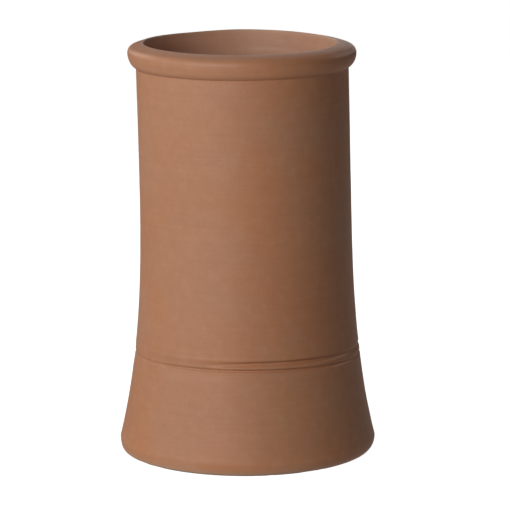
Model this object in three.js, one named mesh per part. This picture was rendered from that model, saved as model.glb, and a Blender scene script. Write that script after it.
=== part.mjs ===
// Roll-top chimney pot, one hollow piece of unglazed terracotta: a straight barrel that flares
// to a broad foot, with a pair of tooled grooves above the foot and a rolled rim at the top.
// Units are millimetres and +Z is up. The origin is the centre of the foot, on the plane it stands on.

import * as THREE from 'three';

// Driving sizes of the body
const potHeight = 450;
const footDiameter = 288;
const barrelDiameter = 230.2;
const flareHeight = 325;
const wallThickness = 15.1;
const footRoundingInwards = 6.5;
const footRoundingHeight = 13;
const footInnerArris = 2;

// Driving sizes of the two grooves
const lowerGrooveHeight = 112.3;
const grooveSpacing = 7.6;
const lowerGrooveWidth = 4.2;
const lowerGrooveDepth = 1.6;
const upperGrooveWidth = 5.4;
const upperGrooveDepth = 1.4;

// Driving sizes of the rolled rim
const rollProud = 8.9;
const rollLowerHeight = 17.2;
const shoulderRadius = 7.3;
const landRise = 3.2;
const crownFlatWidth = 3;
const mouthArris = 1.5;

// Driving sizes of the mouth: a short wider collar, then a cone down to the flue
const mouthStep = 4.4;
const mouthDepth = 19;
const throatHeight = 14;

// How finely the round stretches are divided
const turnSegments = 72;
const flareSteps = 13;
const innerFlareSteps = 9;
const grooveSteps = 4;
const roundSteps = 4;
const rollSteps = 6;
const arrisSteps = 2;
const leastStep = 0.6;

// The flare falls off as a cubic, so it leaves the barrel without a visible line
const flarePower = 3;

// The roll's underside is this part of a quarter turn, so it meets the barrel in a clear crease
const undersideTurn = THREE.MathUtils.degToRad(61);
const shoulderTurn = THREE.MathUtils.degToRad(83);
const quarterTurn = Math.PI / 2;

const barrelRadius = barrelDiameter / 2;
const footRadius = footDiameter / 2;
const widestHeight = potHeight - landRise - shoulderRadius;
const neckHeight = widestHeight - rollLowerHeight;
const upperGrooveHeight = lowerGrooveHeight + grooveSpacing;

// Radius of the smooth outside at a height, before the grooves are tooled
function flareRadius(height) {
  const left = Math.max(0, 1 - height / flareHeight);
  return barrelRadius + (footRadius - barrelRadius) * left ** flarePower;
}

// Depth of one groove at a height: a rounded dip that starts and ends flush
function grooveDip(height, centre, width, depth) {
  const offset = (height - centre) / width;
  return Math.abs(offset) < 0.5 ? depth * (1 + Math.cos(2 * Math.PI * offset)) / 2 : 0;
}

function outerRadius(height) {
  const lowerDip = grooveDip(height, lowerGrooveHeight, lowerGrooveWidth, lowerGrooveDepth);
  const upperDip = grooveDip(height, upperGrooveHeight, upperGrooveWidth, upperGrooveDepth);
  return flareRadius(height) - lowerDip - upperDip;
}

function innerRadius(height) {
  return flareRadius(height) - wallThickness;
}

// Evenly spaced values from one end to the other, both included
function spread(from, to, steps) {
  return Array.from({ length: steps + 1 }, (_, i) => from + (to - from) * i / steps);
}

// Points of an elliptic arc in the section plane, as radius and height
function arc(centreRadius, centreHeight, radialSize, verticalSize, fromAngle, toAngle, steps) {
  return spread(fromAngle, toAngle, steps).map((angle) => new THREE.Vector2(
    centreRadius + radialSize * Math.cos(angle),
    centreHeight + verticalSize * Math.sin(angle),
  ));
}

// The foot: a small arris inside, the flat that stands on the stack, and the outer edge, which is
// rounded over twice as high as it is deep
function footSection() {
  const innerEdge = innerRadius(footInnerArris) + footInnerArris;
  const outerEdge = flareRadius(footRoundingHeight) - footRoundingInwards;
  return [
    ...arc(innerEdge, footInnerArris, footInnerArris, footInnerArris, -Math.PI, -quarterTurn, arrisSteps),
    ...arc(outerEdge, footRoundingHeight, footRoundingInwards, footRoundingHeight, -quarterTurn, 0, roundSteps),
  ];
}

// Heights of the points on the outside wall, close together only where a groove crosses it
function bodyHeights() {
  const lowerHalf = lowerGrooveWidth / 2;
  const upperHalf = upperGrooveWidth / 2;
  const heights = [
    ...spread(footRoundingHeight, Math.min(flareHeight, neckHeight), flareSteps),
    ...spread(lowerGrooveHeight - lowerHalf, lowerGrooveHeight + lowerHalf, grooveSteps),
    ...spread(upperGrooveHeight - upperHalf, upperGrooveHeight + upperHalf, grooveSteps),
  ];
  return heights
    .filter((height) => height > footRoundingHeight + leastStep && height < neckHeight - leastStep)
    .sort((a, b) => a - b)
    .filter((height, i, all) => i === 0 || height - all[i - 1] > leastStep);
}

// The roll swells out of the barrel, turns over a tight shoulder and rises a little to the crown
function rollSection() {
  const neckRadius = outerRadius(neckHeight);
  const widestRadius = neckRadius + rollProud;
  const radialSize = rollProud / (1 - Math.cos(undersideTurn));
  const verticalSize = rollLowerHeight / Math.sin(undersideTurn);
  const shoulderCentre = widestRadius - shoulderRadius;
  return [
    ...arc(widestRadius - radialSize, widestHeight, radialSize, verticalSize, -undersideTurn, 0, rollSteps),
    ...arc(shoulderCentre, widestHeight, shoulderRadius, shoulderRadius, 0, shoulderTurn, roundSteps).slice(1),
  ];
}

// The crown is flat where a cowl or another pot rests, then rounds over into the mouth
function crownSection() {
  const mouthRadius = innerRadius(potHeight) + mouthStep;
  const arrisCentre = mouthRadius + mouthArris;
  return [
    new THREE.Vector2(arrisCentre + crownFlatWidth, potHeight),
    ...arc(arrisCentre, potHeight - mouthArris, mouthArris, mouthArris, quarterTurn, Math.PI, arrisSteps),
    new THREE.Vector2(mouthRadius, potHeight - mouthDepth),
  ];
}

// Inside, a cone leads from the mouth to the flue, and the wall then follows the flare to the foot
function flueSection() {
  const throatFoot = potHeight - mouthDepth - throatHeight;
  const heights = spread(Math.min(flareHeight, throatFoot), footInnerArris, innerFlareSteps);
  const straight = throatFoot > flareHeight ? [throatFoot] : [];
  return [...straight, ...heights.slice(0, -1)]
    .map((height) => new THREE.Vector2(innerRadius(height), height));
}

// The whole section, from the inner edge of the foot round to the same point again
function potSection() {
  const body = bodyHeights().map((height) => new THREE.Vector2(outerRadius(height), height));
  const outline = [...footSection(), ...body, ...rollSection(), ...crownSection(), ...flueSection()];
  return [...outline, outline[0].clone()];
}

const terracotta = new THREE.MeshStandardMaterial({
  name: 'terracotta',
  color: 0xa87352,
  roughness: 0.92,
  metalness: 0,
});

const potGeometry = new THREE.LatheGeometry(potSection(), turnSegments);
potGeometry.rotateX(quarterTurn);

const pot = new THREE.Mesh(potGeometry, terracotta);
pot.name = 'chimney_pot';

const group = new THREE.Group();
group.add(pot);

export default group;
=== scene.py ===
import math

import bpy
from mathutils import Matrix, Vector, noise


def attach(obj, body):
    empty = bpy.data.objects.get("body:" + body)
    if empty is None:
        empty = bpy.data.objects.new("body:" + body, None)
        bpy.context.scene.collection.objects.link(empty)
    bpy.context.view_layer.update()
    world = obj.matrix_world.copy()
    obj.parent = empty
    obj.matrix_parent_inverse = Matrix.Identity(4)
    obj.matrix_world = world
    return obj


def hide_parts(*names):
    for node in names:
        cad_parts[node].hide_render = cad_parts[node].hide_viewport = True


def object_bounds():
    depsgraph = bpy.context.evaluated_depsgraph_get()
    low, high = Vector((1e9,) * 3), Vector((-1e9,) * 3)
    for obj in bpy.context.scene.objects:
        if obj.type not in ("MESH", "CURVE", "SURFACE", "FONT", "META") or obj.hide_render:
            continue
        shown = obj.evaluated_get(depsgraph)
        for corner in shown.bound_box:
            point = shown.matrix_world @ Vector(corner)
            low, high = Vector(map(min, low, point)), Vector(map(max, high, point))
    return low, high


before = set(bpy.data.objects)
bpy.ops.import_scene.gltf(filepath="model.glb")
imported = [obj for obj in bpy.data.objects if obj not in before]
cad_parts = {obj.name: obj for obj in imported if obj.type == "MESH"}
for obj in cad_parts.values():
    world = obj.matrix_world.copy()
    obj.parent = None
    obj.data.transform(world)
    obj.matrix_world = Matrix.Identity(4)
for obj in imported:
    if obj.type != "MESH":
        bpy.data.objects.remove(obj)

# Roll-top chimney pot in unglazed terracotta, turned round the Z axis. Metres throughout.
# An azimuth is an angle in degrees round Z, from the camera's side (-Y) towards +X.
cadLow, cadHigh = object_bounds()


def clearSelection():
    if bpy.context.object and bpy.context.object.mode != "OBJECT":
        bpy.ops.object.mode_set(mode="OBJECT")
    bpy.ops.object.select_all(action="DESELECT")


def spread(start, end, steps):
    return [start + (end - start) * i / steps for i in range(steps + 1)]


def smoothStep(value):
    value = min(max(value, 0.0), 1.0)
    return value * value * (3 - 2 * value)


def bell(distance, width):
    return math.exp(-(distance / width) ** 2)


# The pot's section

pot = {
    "height": cadHigh.z,
    "turnSteps": 240,          # sides round the turn
    "mergeDistance": 0.00002,  # where the turn's first and last section meet
    "smoothAngle": 40,         # degrees, sharper edges than this stay sharp
    "footRadius": 0.144,       # where the flare would meet the ground
    "barrelRadius": 0.1151,
    "flareHeight": 0.325,
    "wall": 0.0151,
    "footRoundingInwards": 0.0065,
    "footRoundingHeight": 0.013,
    "footInnerArris": 0.002,
    "crownDrop": 0.0004,       # the crown's height below the full height
    "rollUpperHeight": 0.0110,
    "faceRadius": 0.0224,      # the roll's bend below its widest line
    "faceTurn": 28,            # degrees of that bend
    "tuckRadius": 0.0137,      # the tighter bend in to the neck
    "tuckTurn": 64,
    "neckFillet": 0.0016,
    "filletDrop": 0.7,         # the fillet's middle below the tuck's foot, in fillet radii
    "filletEnd": 125,          # degrees, where the fillet stops
    "tuckShort": 3,            # degrees left off the tuck, for the fillet
    "shoulderRadius": 0.0078,
    "shoulderTurn": 68,        # degrees, where the shoulder runs into the land
    "landTurn": 80,            # degrees, where the land meets the mouth's edge
    "mouthArris": 0.0012,
    "mouthStep": 0.0042,       # the mouth's edge stands about this far out from the flue's wall
    "mouthDepth": 0.019,
    "throatHeight": 0.014,
}

# how finely each stretch of the section is divided
sectionSteps = {
    "footArris": 5,
    "footRounding": 12,
    "skirt": 26,
    "grooves": 50,
    "barrel": 66,
    "fillet": 4,
    "tuck": 9,
    "face": 9,
    "shoulder": 14,
    "land": 10,
    "mouthArris": 6,
    "collar": 6,
    "throat": 10,
    "flue": 130,
}

# low rings left by the ribs inside: one set even, one not
rings = {
    "unevenRise": 0.00035,
    "unevenScale": 95,
    "evenRise": 0.00015,
    "evenScale": 760,
}


def flareRadius(height):
    left = max(0.0, 1 - height / pot["flareHeight"])
    return pot["barrelRadius"] + (pot["footRadius"] - pot["barrelRadius"]) * left ** 3


def turningMark(height):
    uneven = rings["unevenRise"] * noise.noise(Vector((0.0, 0.0, height * rings["unevenScale"])))
    return uneven + rings["evenRise"] * math.sin(height * rings["evenScale"])


def innerRadius(height):
    return flareRadius(height) - pot["wall"]


def arc(centreRadius, centreHeight, radial, vertical, start, end, steps):
    turns = [math.radians(angle) for angle in spread(start, end, steps)]
    return [(centreRadius + radial * math.cos(t), centreHeight + vertical * math.sin(t)) for t in turns]


def footSection():
    arris, deep, high = pot["footInnerArris"], pot["footRoundingInwards"], pot["footRoundingHeight"]
    inner = arc(innerRadius(arris) + arris, arris, arris, arris, 180, 270, sectionSteps["footArris"])
    outer = arc(flareRadius(high) - deep, high, deep, high, 270, 360, sectionSteps["footRounding"])
    return inner + outer


def wallSection(top):
    # the heights lie close together where the grooves are tooled afterwards
    grooveFoot = tooling["lowerGroove"]["height"] - tooling["fineBelow"]
    grooveTop = tooling["upperGroove"]["height"] + tooling["fineAbove"]
    heights = spread(pot["footRoundingHeight"], grooveFoot, sectionSteps["skirt"])[1:]
    heights += spread(grooveFoot, grooveTop, sectionSteps["grooves"])[1:]
    heights += spread(grooveTop, top, sectionSteps["barrel"])[1:]
    return [(flareRadius(height), height) for height in heights]


def rollDrop():
    # how far the roll's two lower bends reach down and in, from its widest line to the neck
    face, tuck = math.radians(pot["faceTurn"]), math.radians(pot["tuckTurn"])
    faceRadius, tuckRadius = pot["faceRadius"], pot["tuckRadius"]
    down = faceRadius * math.sin(face) + tuckRadius * (math.sin(tuck) - math.sin(face))
    inwards = faceRadius * (1 - math.cos(face)) + tuckRadius * (math.cos(face) - math.cos(tuck))
    return down, inwards


def neckHeight():
    return pot["height"] - pot["crownDrop"] - pot["rollUpperHeight"] - rollDrop()[0]


def rollSection():
    # a small fillet out of the barrel, the tuck, the roll's face and the tight shoulder
    down, inwards = rollDrop()
    widest, widestHeight = pot["barrelRadius"] + inwards, neckHeight() + down
    faceTurn, faceRadius, tuckRadius = pot["faceTurn"], pot["faceRadius"], pot["tuckRadius"]
    faceMiddle = widest - faceRadius
    face = arc(faceMiddle, widestHeight, faceRadius, faceRadius, -faceTurn, 0, sectionSteps["face"])
    spare = faceRadius - tuckRadius
    tuckCentre = (
        faceMiddle + spare * math.cos(math.radians(faceTurn)),
        widestHeight - spare * math.sin(math.radians(faceTurn)),
    )
    tuckFoot = pot["tuckShort"] - pot["tuckTurn"]
    tuck = arc(*tuckCentre, tuckRadius, tuckRadius, tuckFoot, -faceTurn, sectionSteps["tuck"])
    fillet = pot["neckFillet"]
    filletCentre = (pot["barrelRadius"] + fillet, tuck[0][1] - fillet * pot["filletDrop"])
    bend = arc(*filletCentre, fillet, fillet, 180, pot["filletEnd"], sectionSteps["fillet"])
    shoulder, shoulderTurn = pot["shoulderRadius"], pot["shoulderTurn"]
    shoulderCentre = (widest - shoulder, widestHeight)
    upper = arc(*shoulderCentre, shoulder, shoulder, 0, shoulderTurn, sectionSteps["shoulder"])
    return bend + tuck + face[1:] + upper[1:]


def landSection(shoulder):
    # the land climbs from the shoulder to the mouth's edge in one long, nearly flat curve
    radius, height = shoulder
    start, end = math.radians(pot["shoulderTurn"]), math.radians(pot["landTurn"])
    crown = pot["height"] - pot["crownDrop"]
    bend = (crown - height) / (math.sin(end) - math.sin(start))
    centre = (radius - bend * math.cos(start), height - bend * math.sin(start))
    return arc(*centre, bend, bend, pot["shoulderTurn"], pot["landTurn"], sectionSteps["land"])[1:]


def mouthSection(landEnd):
    # the rounded edge of the mouth, which carries on from the land's slope to the upright collar
    radius, height = landEnd
    arris, end = pot["mouthArris"], math.radians(pot["landTurn"])
    centre = (radius - arris * math.cos(end), height - arris * math.sin(end))
    return arc(*centre, arris, arris, pot["landTurn"], 180, sectionSteps["mouthArris"])[1:]


def flueSection(collar):
    mouth, mouthTop = collar
    mouthFoot = pot["height"] - pot["mouthDepth"]
    throatFoot = mouthFoot - pot["throatHeight"]
    step = mouth - innerRadius(throatFoot)
    points = [(mouth, height) for height in spread(mouthTop, mouthFoot, sectionSteps["collar"])[1:]]
    for share in spread(0, 1, sectionSteps["throat"])[1:]:
        height = mouthFoot + (throatFoot - mouthFoot) * share
        points.append((mouth - step * smoothStep(share), height))
    for height in spread(throatFoot, pot["footInnerArris"], sectionSteps["flue"])[1:-1]:
        points.append((innerRadius(height) + turningMark(height), height))
    return points


def potSection():
    roll = rollSection()
    land = landSection(roll[-1])
    mouth = mouthSection(land[-1])
    return footSection() + wallSection(roll[0][1])[:-1] + roll + land + mouth + flueSection(mouth[-1])


def drawSection(points):
    # one vertex, extruded from point to point
    radius, height = points[0]
    bpy.ops.mesh.primitive_plane_add(size=0.001, location=(radius, 0, height))
    piece = bpy.context.object
    bpy.ops.object.mode_set(mode="EDIT")
    bpy.ops.mesh.merge(type="CENTER")
    for (r0, z0), (r1, z1) in zip(points, points[1:]):
        bpy.ops.mesh.extrude_vertices_move(TRANSFORM_OT_translate={"value": (r1 - r0, 0, z1 - z0)})
    bpy.ops.mesh.select_all(action="SELECT")
    return piece


def closeSection(piece):
    bpy.ops.object.mode_set(mode="OBJECT")
    last = len(piece.data.vertices) - 1
    for i, vertex in enumerate(piece.data.vertices):
        vertex.select = i in (0, last)
    for edge in piece.data.edges:
        edge.select = False
    bpy.ops.object.mode_set(mode="EDIT")
    bpy.ops.mesh.edge_face_add()
    bpy.ops.mesh.select_all(action="SELECT")


def turnPot():
    clearSelection()
    piece = drawSection(potSection())
    piece.name = piece.data.name = "turnedPot"
    closeSection(piece)
    bpy.ops.mesh.spin(steps=pot["turnSteps"], angle=2 * math.pi, center=(0, 0, 0), axis=(0, 0, 1))
    bpy.ops.mesh.select_all(action="SELECT")
    bpy.ops.mesh.remove_doubles(threshold=pot["mergeDistance"])
    bpy.ops.mesh.normals_make_consistent(inside=False)
    bpy.ops.object.mode_set(mode="OBJECT")
    bpy.ops.object.transform_apply(location=True, rotation=True, scale=True)
    return piece


# The two grooves, tooled into the outside while the pot turns

tooling = {
    "lowerGroove": {
        "height": 0.1100, "width": 0.0052, "depth": 0.0023,
        "slackWidth": 0.0004, "slackDepth": 0.0008,    # change where the tool was held slackly
        "wave": 0.0017, "tilt": -0.0006,               # how the groove strays up and down round the pot
        "slackSag": 0,                                 # how far it dips where slack
        "fade": 0.65,                                  # share of its depth lost at fadePlace
    },
    "upperGroove": {
        "height": 0.1178, "width": 0.0076, "depth": 0.0033,
        "slackWidth": 0.0018, "slackDepth": 0.0026,
        "wave": 0.0012, "tilt": 0.0005,
        "slackSag": 0.0016,
        "fade": 0.75,
    },
    "slackStart": 6,           # the tool was held slackly from this azimuth to the next
    "slackEnd": -165,
    "slackInto": 33,           # degrees over which it slackened and firmed up
    "slackOut": 30,
    "liftStart": -40,          # and pressed less than half as hard from here on
    "liftInto": 16,
    "liftOut": 60,
    "liftShare": 0.6,
    "fadePlace": 74,           # where both grooves are shallowest on the other side
    "fadeWidth": 26,
    "bandDepth": 0.0016,       # how far the band between the grooves was pressed in where it was slack
    "bandFoot": 3.5,           # where that ends, as a share of the way from the upper groove to the lower
    "lipRise": 0.0002,         # clay pressed up beside each groove
    "lipPlace": 0.62,          # in groove widths from the middle
    "lipWidth": 0.16,
    "fineBelow": 0.006,        # the section is finely divided from this far below the lower groove
    "fineAbove": 0.007,        # to this far above the upper one
    "reachBelow": 0.022,       # and the tooling is felt this far below and above them
    "reachAbove": 0.008,
}


def slackness(azimuth):
    start = smoothStep((tooling["slackStart"] - azimuth) / tooling["slackInto"])
    return start * smoothStep((azimuth - tooling["slackEnd"]) / tooling["slackOut"])


def toolPressure(azimuth):
    start = smoothStep((tooling["liftStart"] - azimuth) / tooling["liftInto"])
    end = smoothStep((azimuth - tooling["slackEnd"]) / tooling["liftOut"])
    return 1 - tooling["liftShare"] * start * end


def grooveMiddle(azimuth, groove):
    turn = math.radians(azimuth)
    middle = groove["height"] + groove["wave"] * math.cos(2 * turn) + groove["tilt"] * math.sin(turn)
    return middle - groove["slackSag"] * slackness(azimuth)


def grooveDip(height, azimuth, groove):
    slack = slackness(azimuth)
    width = groove["width"] + groove["slackWidth"] * slack
    fade = 1 - groove["fade"] * bell(azimuth - tooling["fadePlace"], tooling["fadeWidth"])
    pressure = toolPressure(azimuth) * fade
    depth = groove["depth"] - groove["slackDepth"] * slack
    offset = abs(height - grooveMiddle(azimuth, groove)) / width
    dip = depth * (1 + math.cos(2 * math.pi * offset)) / 2 if offset < 0.5 else 0.0
    return pressure * (dip - tooling["lipRise"] * bell(offset - tooling["lipPlace"], tooling["lipWidth"]))


def bandDip(height, azimuth):
    # the band between the grooves leans in towards the lower one
    upper = grooveMiddle(azimuth, tooling["upperGroove"])
    lower = grooveMiddle(azimuth, tooling["lowerGroove"])
    share, foot = (upper - height) / (upper - lower), tooling["bandFoot"]
    ramp = min(max(share, 0), max((foot - share) / (foot - 1), 0), 1)
    return tooling["bandDepth"] * slackness(azimuth) * toolPressure(azimuth) * ramp


def toolGrooves(piece):
    low = tooling["lowerGroove"]["height"] - tooling["reachBelow"]
    high = tooling["upperGroove"]["height"] + tooling["reachAbove"]
    for vertex in piece.data.vertices:
        x, y, z = vertex.co
        radius = math.hypot(x, y)
        if low < z < high and radius > flareRadius(z) - pot["wall"] / 2:
            azimuth = math.degrees(math.atan2(x, -y))
            dip = sum(grooveDip(z, azimuth, tooling[name]) for name in ("lowerGroove", "upperGroove"))
            share = 1 - (dip + bandDip(z, azimuth)) / radius
            vertex.co = (x * share, y * share, z)


# Worn edges with a painted highlight, painted shade in the grooves and on the band between them,
# painted light under the roll, on the foot and on the right shoulder, the raw inside
# and a painted sheen on the left front, kept as attributes for the clay's colour

wearAndPaintedLight = {
    "crownWidth": 0.0018,      # of the paler line round the mouth's edge: dusty wear, and a painted highlight
    "crownInset": 0.0006,      # that line's place, out from the mouth and down from the crown
    "crownBelow": 0.0003,
    "footHeight": 0.002,       # of the paler line round the foot: dusty wear, and painted light from the floor
    "footWidth": 0.004,
    # of the painted shade in the grooves
    "grooveWidth": 0.0012,
    "tuckInset": 0.005,        # the painted light under the roll, out and up from the neck
    "tuckWidth": 0.0055,
    # painted light on the foot's rounding
    "footPaleHeight": 0.006,
    "footPaleWidth": 0.009,
    "shoulderInset": 0.004,    # the painted light on the shoulder, in from the widest line and down from the top
    "shoulderDrop": 0.0045,
    "shoulderWidth": 0.0045,
    "shoulderStart": -25,      # the azimuth where it begins, and the degrees over which it grows
    "shoulderInto": 35,
    "bandShade": 0.5,          # of the painted shade on the pressed band between the grooves
    "bandWidth": 0.003,
    "insideStart": 0.008,      # in from the outer wall, where the outer skin gives way to the inside
    "insideBlend": 0.0025,
    "sheenPlace": -28,          # azimuth of the painted sheen, a paler stripe where the key light's highlight falls
    "sheenWidth": 26,
}


def measureWearAndLight(radius, height, azimuth):
    crown = pot["height"] - pot["crownDrop"]
    mouth = innerRadius(crown) + pot["mouthStep"]
    # paler arrises: dusty wear, and a painted highlight
    arrises = [
        (mouth + wearAndPaintedLight["crownInset"], crown - wearAndPaintedLight["crownBelow"], wearAndPaintedLight["crownWidth"]),
        (flareRadius(0) - pot["footRoundingInwards"], wearAndPaintedLight["footHeight"], wearAndPaintedLight["footWidth"]),
    ]
    # painted light under the roll and on the foot's rounding
    inset, footPale = wearAndPaintedLight["tuckInset"], wearAndPaintedLight["footPaleHeight"]
    paintedLightPlaces = [
        (pot["barrelRadius"] + inset, neckHeight() + inset, wearAndPaintedLight["tuckWidth"]),
        (flareRadius(footPale), footPale, wearAndPaintedLight["footPaleWidth"]),
    ]
    # painted shade in both grooves, marked at the lower groove's depth
    hollow = tooling["lowerGroove"]["depth"]
    middles = [grooveMiddle(azimuth, tooling[name]) for name in ("lowerGroove", "upperGroove")]
    hollows = [(flareRadius(middle) - hollow, middle, wearAndPaintedLight["grooveWidth"]) for middle in middles]
    # painted shade on the band between the grooves
    pressed = slackness(azimuth) * toolPressure(azimuth)
    band = wearAndPaintedLight["bandShade"] * pressed * bell(height - sum(middles) / 2, wearAndPaintedLight["bandWidth"])
    # painted light on the shoulder, growing in from azimuth -25
    grown = smoothStep((azimuth - wearAndPaintedLight["shoulderStart"]) / wearAndPaintedLight["shoulderInto"])
    shoulder = (
        pot["barrelRadius"] + rollDrop()[1] - wearAndPaintedLight["shoulderInset"],
        pot["height"] - wearAndPaintedLight["shoulderDrop"],
        wearAndPaintedLight["shoulderWidth"],
    )
    depth = flareRadius(height) - radius
    inside = smoothStep((depth - wearAndPaintedLight["insideStart"]) / wearAndPaintedLight["insideBlend"])

    def nearest(places):
        return max(bell(math.hypot(radius - r, height - z), width) for r, z, width in places)

    paintedLight = max(nearest(paintedLightPlaces), grown * nearest([shoulder]))
    return {
        "edgeWearAndHighlight": nearest(arrises),
        "paintedLightAndShade": (nearest(hollows) + band - paintedLight) * (1 - inside),
        "inside": inside,
        "paintedSheen": bell(azimuth - wearAndPaintedLight["sheenPlace"], wearAndPaintedLight["sheenWidth"]),
    }


def markWearAndLight(piece):
    names = ("edgeWearAndHighlight", "paintedLightAndShade", "inside", "paintedSheen")
    layers = {name: [] for name in names}
    for vertex in piece.data.vertices:
        x, y, z = vertex.co
        found = measureWearAndLight(math.hypot(x, y), z, math.degrees(math.atan2(x, -y)))
        for name in names:
            layers[name].append(found[name])
    for name in names:
        layer = piece.data.attributes.new(name, "FLOAT", "POINT")
        layer.data.foreach_set("value", layers[name])


# How a turned pot dries and fires a little out of true

firing = {
    "lean": -0.012,            # shift to +X for each metre of height, level rings kept level
    "bow": 0.0017,             # how far the middle stands out to +X
    "flueShift": -0.0019,      # the flue stands this far off the middle, to +X
    "neckRise": 0.0006,        # the roll's underside climbs by this from -X to the front, and again to +X
    "neckReach": 0.009,
    "rimSag": 0.0009,          # the rim sags by this at one azimuth
    "sagPlace": -146,
    "rimLift": 0.0006,         # and stands up by this at another
    "liftPlace": 174,
    "rimWidth": 26,
    "mouthSag": 0.0008,        # the front of the mouth's edge sags by this
    "mouthSagWidth": 75,
    "ovality": 0.0004,
    "ovalTurn": 0.7,           # radians
    "swell": 0.0006,           # broad unevenness, over about a hand's width
    "swellSize": 0.11,
    "ripple": 0.00022,         # smaller unevenness, over a finger's width
    "rippleSize": 0.022,
    "flatBelow": 0.0002,       # what lies lower than this was cut off flat
}


def unevenRim(azimuth):
    # the turns are measured the short way round
    sagTurn = (azimuth - firing["sagPlace"] + 180) % 360 - 180
    liftTurn = (azimuth - firing["liftPlace"] + 180) % 360 - 180
    sag = firing["rimSag"] * bell(sagTurn, firing["rimWidth"])
    return firing["rimLift"] * bell(liftTurn, firing["rimWidth"]) - sag


def warpPot(piece):
    top = pot["height"]
    neck = neckHeight()
    collarDepth = pot["wall"] - pot["mouthStep"]
    for vertex in piece.data.vertices:
        x, y, z = vertex.co
        radius = math.hypot(x, y)
        inwards = smoothStep((flareRadius(z) - radius) / collarDepth)
        oval = firing["ovality"] * math.cos(2 * math.atan2(y, x) + firing["ovalTurn"]) * smoothStep(z / top)
        grow = 1 + oval / radius
        shift = firing["lean"] * (z - top / 2) + firing["bow"] * math.sin(math.pi * z / top)
        shift += firing["flueShift"] * inwards
        rise = firing["neckRise"] * (1 + x / radius) * bell(z - neck, firing["neckReach"]) * (1 - inwards)
        azimuth = math.degrees(math.atan2(x, -y))
        mouthSag = firing["mouthSag"] * bell(azimuth, firing["mouthSagWidth"]) * inwards
        rise += (unevenRim(azimuth) - mouthSag) * smoothStep((z - neck) / (top - neck))
        vertex.co = (x * grow + shift, y * grow, z + rise)


def unevenSurface(piece, name, size, strength):
    texture = bpy.data.textures.new(name, "CLOUDS")
    texture.noise_scale = size
    texture.noise_depth = 1
    modifier = piece.modifiers.new(name, "DISPLACE")
    modifier.texture = texture
    modifier.texture_coords = "LOCAL"
    modifier.strength = strength
    modifier.mid_level = 0.5
    bpy.context.view_layer.objects.active = piece
    bpy.ops.object.modifier_apply(modifier=modifier.name)


def flattenFoot(piece):
    # it stands without rocking
    for vertex in piece.data.vertices:
        if vertex.co.z < firing["flatBelow"]:
            vertex.co.z = 0.0


# Terracotta: fired clay with a slow drift of colour, mottling, grain and specks, and painted light, shade
# and sheen

clay = {
    "body": (0.500, 0.237, 0.130, 1),
    "hot": (0.515, 0.221, 0.108, 1),       # where the fire reached it most
    "buff": (0.500, 0.262, 0.158, 1),      # paler, yellower patches
    "lining": (0.530, 0.283, 0.182, 1),    # the inside, which was never smoothed over
    "bloomAndHighlight": (0.560, 0.345, 0.225, 1),     # dry, dusty arrises, and a painted highlight on them
    "iron": (0.185, 0.078, 0.045, 1),      # dark specks
    "grog": (0.700, 0.430, 0.270, 1),      # pale specks of ground pot
    "roughness": 0.48,
    "roughnessSwing": 0.05,
    "specular": 0.35,
    "hotRange": (0.38, 0.62),  # of the drift, from the hot colour to the body's
    "buffRange": (0.52, 0.75),  # of the mottling, over which the buff comes in
    "buffShare": 0.4,
    "bloomAndHighlightShare": 0.6,
    "sheenShift": 0.2,          # how far the painted sheen moves the drift towards the paler body colour
    "sheenCentre": 0.4,         # share of that shift taken off everywhere, to keep the mean
    # of the painted light and shade, as a share either way
    "shadeDepth": 0.09,
    "noiseRange": (0.25, 0.75),
    "noiseRoughness": 0.55,
    "wipeStretch": 30,
    "leastSpeck": 0.5,         # the smallest speck, as a share of the largest
    "speckEdge": 0.35,         # a speck's soft edge, as a share of the largest
    "speckStep": 0.01,         # how sharply the cells with a speck are told from the others
}

# scale in features per metre, tone as a share either way, rise in metres
noises = {
    "drift": {"scale": 9, "detail": 2},
    "mottle": {"scale": 85, "detail": 3, "tone": 0.035},
    "fine": {"scale": 420, "detail": 3, "tone": 0.032, "rise": 0.00010},
    "grain": {"scale": 1500, "detail": 2, "tone": 0.04, "rise": 0.00005},
    "wipe": {"scale": 8, "detail": 3, "tone": 0.03, "rise": 0.00010},
}
# share of the cells that have a speck, its largest radius in cells, and its strength
specks = {
    "iron": {"scale": 270, "share": 0.14, "radius": 0.16, "strength": 0.55},
    "grog": {"scale": 420, "share": 0.10, "radius": 0.17, "strength": 0.3, "rise": 0.00004},
    "pores": {"scale": 520, "share": 0.16, "radius": 0.20, "rise": -0.00010},
}


def addNode(tree, kind, **settings):
    node = tree.nodes.new(kind)
    for name, value in settings.items():
        setattr(node, name, value)
    return node


def noiseLayer(tree, place, look):
    node = addNode(tree, "ShaderNodeTexNoise")
    node.inputs["Scale"].default_value = look["scale"]
    node.inputs["Detail"].default_value = look["detail"]
    node.inputs["Roughness"].default_value = clay["noiseRoughness"]
    tree.links.new(place, node.inputs["Vector"])
    return node.outputs["Fac"]


def remap(tree, value, low, high, newLow, newHigh):
    node = addNode(tree, "ShaderNodeMapRange", clamp=True)
    for socket, number in zip(("From Min", "From Max", "To Min", "To Max"), (low, high, newLow, newHigh)):
        node.inputs[socket].default_value = number
    tree.links.new(value, node.inputs["Value"])
    return node.outputs["Result"]


def combine(tree, operation, first, second):
    node = addNode(tree, "ShaderNodeMath", operation=operation)
    for socket, value in zip(node.inputs, (first, second)):
        if isinstance(value, (int, float)):
            socket.default_value = value
        else:
            tree.links.new(value, socket)
    return node.outputs["Value"]


def blendColor(tree, share, first, second, blend="MIX"):
    node = addNode(tree, "ShaderNodeMix", data_type="RGBA", blend_type=blend)
    for name, value in (("Factor_Float", share), ("A_Color", first), ("B_Color", second)):
        socket = next(s for s in node.inputs if s.identifier == name)
        if isinstance(value, (int, float, tuple)):
            socket.default_value = value
        else:
            tree.links.new(value, socket)
    return next(s for s in node.outputs if s.identifier == "Result_Color")


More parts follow.
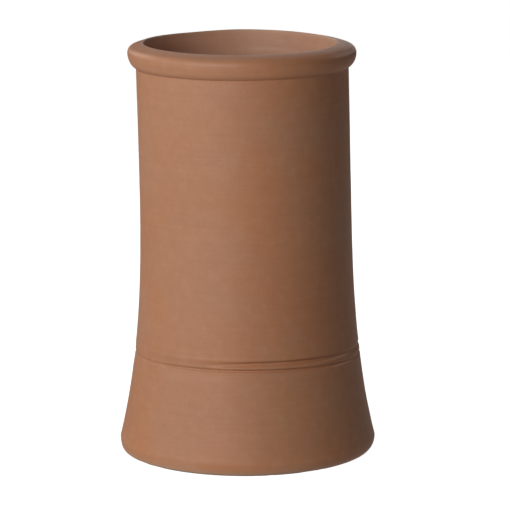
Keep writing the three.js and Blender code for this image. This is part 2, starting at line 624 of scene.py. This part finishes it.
def speckLayer(tree, place, look):
    # round specks in some of the cells of a scatter, each of its own size
    radius, without = look["radius"], 1 - look["share"]
    node = addNode(tree, "ShaderNodeTexVoronoi", feature="F1")
    node.inputs["Scale"].default_value = look["scale"]
    tree.links.new(place, node.inputs["Vector"])
    parts = addNode(tree, "ShaderNodeSeparateColor")
    tree.links.new(node.outputs["Color"], parts.inputs["Color"])
    chosen = remap(tree, parts.outputs["Red"], without, without + clay["speckStep"], 0, 1)
    size = remap(tree, parts.outputs["Green"], 0, 1, radius * clay["leastSpeck"], radius)
    inside = combine(tree, "SUBTRACT", size, node.outputs["Distance"])
    return combine(tree, "MULTIPLY", remap(tree, inside, 0, radius * clay["speckEdge"], 0, 1), chosen)


def readAttribute(tree, name):
    return addNode(tree, "ShaderNodeAttribute", attribute_name=name).outputs["Fac"]


def makeTerracotta():
    material = bpy.data.materials.new("firedTerracotta")
    material.use_nodes = True
    tree = material.node_tree
    shader = tree.nodes["Principled BSDF"]
    place = addNode(tree, "ShaderNodeTexCoord").outputs["Object"]
    squeeze = addNode(tree, "ShaderNodeMapping")
    squeeze.inputs["Scale"].default_value = (1, 1, clay["wipeStretch"])
    tree.links.new(place, squeeze.inputs["Vector"])

    layers = {}
    for name, look in noises.items():
        where = squeeze.outputs["Vector"] if name == "wipe" else place
        layers[name] = noiseLayer(tree, where, look)
    for name, look in specks.items():
        layers[name] = speckLayer(tree, place, look)

    # painted sheen: the drift moves towards the paler body colour where the key light's highlight falls
    lean = combine(tree, "MULTIPLY", readAttribute(tree, "paintedSheen"), clay["sheenShift"])
    centred = combine(tree, "SUBTRACT", layers["drift"], clay["sheenShift"] * clay["sheenCentre"])
    drift = combine(tree, "ADD", centred, lean)
    color = blendColor(tree, remap(tree, drift, *clay["hotRange"], 0, 1), clay["hot"], clay["body"])
    buff = remap(tree, layers["mottle"], *clay["buffRange"], 0, clay["buffShare"])
    color = blendColor(tree, buff, color, clay["buff"])
    color = blendColor(tree, readAttribute(tree, "inside"), color, clay["lining"])
    # paler arrises: dusty bloom, and a painted highlight
    bloomAndHighlight = combine(tree, "MULTIPLY", readAttribute(tree, "edgeWearAndHighlight"), clay["bloomAndHighlightShare"])
    color = blendColor(tree, bloomAndHighlight, color, clay["bloomAndHighlight"])

    depth = clay["shadeDepth"]
    tones = []
    for name in ("mottle", "fine", "grain", "wipe"):
        swing = noises[name]["tone"]
        tones.append(remap(tree, layers[name], *clay["noiseRange"], 1 - swing, 1 + swing))
    # painted shade in the grooves and on the band, painted light under the roll, on the foot and shoulder
    tones.append(remap(tree, readAttribute(tree, "paintedLightAndShade"), -1, 1, 1 + depth, 1 - depth))
    tone = tones[0]
    for factor in tones[1:]:
        tone = combine(tree, "MULTIPLY", tone, factor)
    color = blendColor(tree, 1.0, color, tone, "MULTIPLY")
    for name in ("iron", "grog"):
        strength = combine(tree, "MULTIPLY", layers[name], specks[name]["strength"])
        color = blendColor(tree, strength, color, clay[name])
    tree.links.new(color, shader.inputs["Base Color"])

    least, most = clay["roughness"] - clay["roughnessSwing"], clay["roughness"] + clay["roughnessSwing"]
    rough = remap(tree, layers["fine"], *clay["noiseRange"], least, most)
    tree.links.new(rough, shader.inputs["Roughness"])
    shader.inputs["Specular IOR Level"].default_value = clay["specular"]

    rises = {name: look["rise"] for name, look in {**noises, **specks}.items() if "rise" in look}
    height = combine(tree, "MULTIPLY", layers["grain"], rises["grain"])
    for name in ("fine", "wipe", "grog", "pores"):
        height = combine(tree, "ADD", height, combine(tree, "MULTIPLY", layers[name], rises[name]))
    bump = addNode(tree, "ShaderNodeBump")
    bump.inputs["Strength"].default_value = 1.0
    bump.inputs["Distance"].default_value = 1.0
    tree.links.new(height, bump.inputs["Height"])
    tree.links.new(bump.outputs["Normal"], shader.inputs["Normal"])
    return material


turnedPot = turnPot()
markWearAndLight(turnedPot)
toolGrooves(turnedPot)
warpPot(turnedPot)
unevenSurface(turnedPot, "swell", firing["swellSize"], firing["swell"])
unevenSurface(turnedPot, "ripple", firing["rippleSize"], firing["ripple"])
flattenFoot(turnedPot)
bpy.ops.object.shade_smooth_by_angle(angle=math.radians(pot["smoothAngle"]))
turnedPot.data.materials.clear()
turnedPot.data.materials.append(makeTerracotta())
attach(turnedPot, "root")
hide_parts("chimney_pot")
print("turned pot:", len(turnedPot.data.vertices), "vertices")


# Floor: it glows white to the camera, so hardly any shadow shows

floorLook = {"size": 40, "color": (0.35, 0.35, 0.35, 1), "roughness": 0.9, "glow": 1.0}


def makeFloor():
    clearSelection()
    bpy.ops.mesh.primitive_plane_add(size=floorLook["size"], location=(0, 0, 0))
    floor = bpy.context.object
    floor.name = floor.data.name = "studioFloor"
    material = bpy.data.materials.new("paleFloor")
    material.use_nodes = True
    shader = material.node_tree.nodes["Principled BSDF"]
    shader.inputs["Base Color"].default_value = floorLook["color"]
    shader.inputs["Roughness"].default_value = floorLook["roughness"]
    shader.inputs["Specular IOR Level"].default_value = 0.0
    shader.inputs["Emission Color"].default_value = (1, 1, 1, 1)
    shader.inputs["Emission Strength"].default_value = floorLook["glow"]
    floor.data.materials.append(material)
    # its glow is for the camera alone; the card below gives the pot its light from the floor
    floor.visible_diffuse = False
    floor.visible_glossy = False


makeFloor()
print("floor laid")


# Softboxes stand round the pot at an azimuth and an elevation, and face a point near its middle.
# The card lies just over the floor and shines up. Powers are in watts.

softboxes = {
    "keyHigh": {"azimuth": -26, "elevation": 20, "size": (0.8, 0.8), "power": 20.6},
    "keyLeft": {"azimuth": -50, "elevation": 15, "size": (0.8, 0.8), "power": 8.6},
    "leftBox": {"azimuth": -80, "elevation": 12, "size": (0.8, 0.9), "power": 6.3},
    "backLeft": {"azimuth": -129, "elevation": 24, "size": (0.9, 0.9), "power": 10.9},
    "backRight": {"azimuth": 130, "elevation": 25, "size": (0.9, 0.9), "power": 5.1},
    "backLow": {"azimuth": 170, "elevation": 8, "size": (0.8, 0.6), "power": 2.5},
    "backBox": {"azimuth": 180, "elevation": 30, "size": (1.2, 0.9), "power": 2.8},
    "backTop": {"azimuth": 180, "elevation": 60, "size": (1.2, 1.2), "power": 2.5},
    "topBox": {"azimuth": -45, "elevation": 75, "size": (1.2, 1.2), "power": 1.5},
}
boxDistance = 2.2
cards = {
    "floorCard": {"place": (0, 0), "size": (5, 5), "power": 21.0},
}
cardHeight = 0.0005
lookAt = Vector((0, 0, 0.25))
backdrop = {"color": (1, 1, 1, 1), "strength": 1.0}


def addAreaLight(name, size, power, place, turn):
    data = bpy.data.lights.new(name, "AREA")
    data.shape = "RECTANGLE"
    data.size, data.size_y = size
    data.energy = power
    lamp = bpy.data.objects.new(name, data)
    lamp.location = place
    lamp.rotation_euler = turn
    lamp.visible_camera = False
    bpy.context.scene.collection.objects.link(lamp)


def makeLights():
    for name, box in softboxes.items():
        turn, rise = math.radians(box["azimuth"]), math.radians(box["elevation"])
        away = Vector((math.sin(turn) * math.cos(rise), -math.cos(turn) * math.cos(rise), math.sin(rise)))
        facing = (-away).to_track_quat("-Z", "Y").to_euler()
        addAreaLight(name, box["size"], box["power"], lookAt + away * boxDistance, facing)
    for name, card in cards.items():
        addAreaLight(name, card["size"], card["power"], (*card["place"], cardHeight), (math.pi, 0, 0))


def makeBackdrop():
    # a white surround that the camera sees and that adds no light of its own
    world = bpy.data.worlds.new("studio")
    world.use_nodes = True
    surround = world.node_tree.nodes["Background"]
    surround.inputs["Color"].default_value = backdrop["color"]
    surround.inputs["Strength"].default_value = backdrop["strength"]
    world.cycles_visibility.diffuse = False
    world.cycles_visibility.glossy = False
    bpy.context.scene.world = world
    bpy.context.scene.view_settings.view_transform = "Standard"


makeLights()
makeBackdrop()
print("lights set")


# Camera: a long lens a little above the rim, as in the photo

view = {
    "distance": 3.5196,
    "height": 0.9032,
    "pitch": 0.1933,           # radians below the horizon
    "yaw": 0.0032,
    "roll": 0.0026,
    "lens": 230.93,            # millimetres, like the sensor's width
    "sensor": 36,
    "clipEnd": 100,
}


def makeCamera():
    data = bpy.data.cameras.new("camera")
    data.sensor_width = view["sensor"]
    data.lens = view["lens"]
    data.clip_end = view["clipEnd"]
    camera = bpy.data.objects.new("camera", data)
    turn = Matrix.Rotation(-view["yaw"], 4, "Z") @ Matrix.Rotation(math.pi / 2 - view["pitch"], 4, "X")
    turn = turn @ Matrix.Rotation(-view["roll"], 4, "Z")
    camera.matrix_world = Matrix.Translation((0, -view["distance"], view["height"])) @ turn
    bpy.context.scene.collection.objects.link(camera)
    bpy.context.scene.camera = camera


makeCamera()
print("camera set")
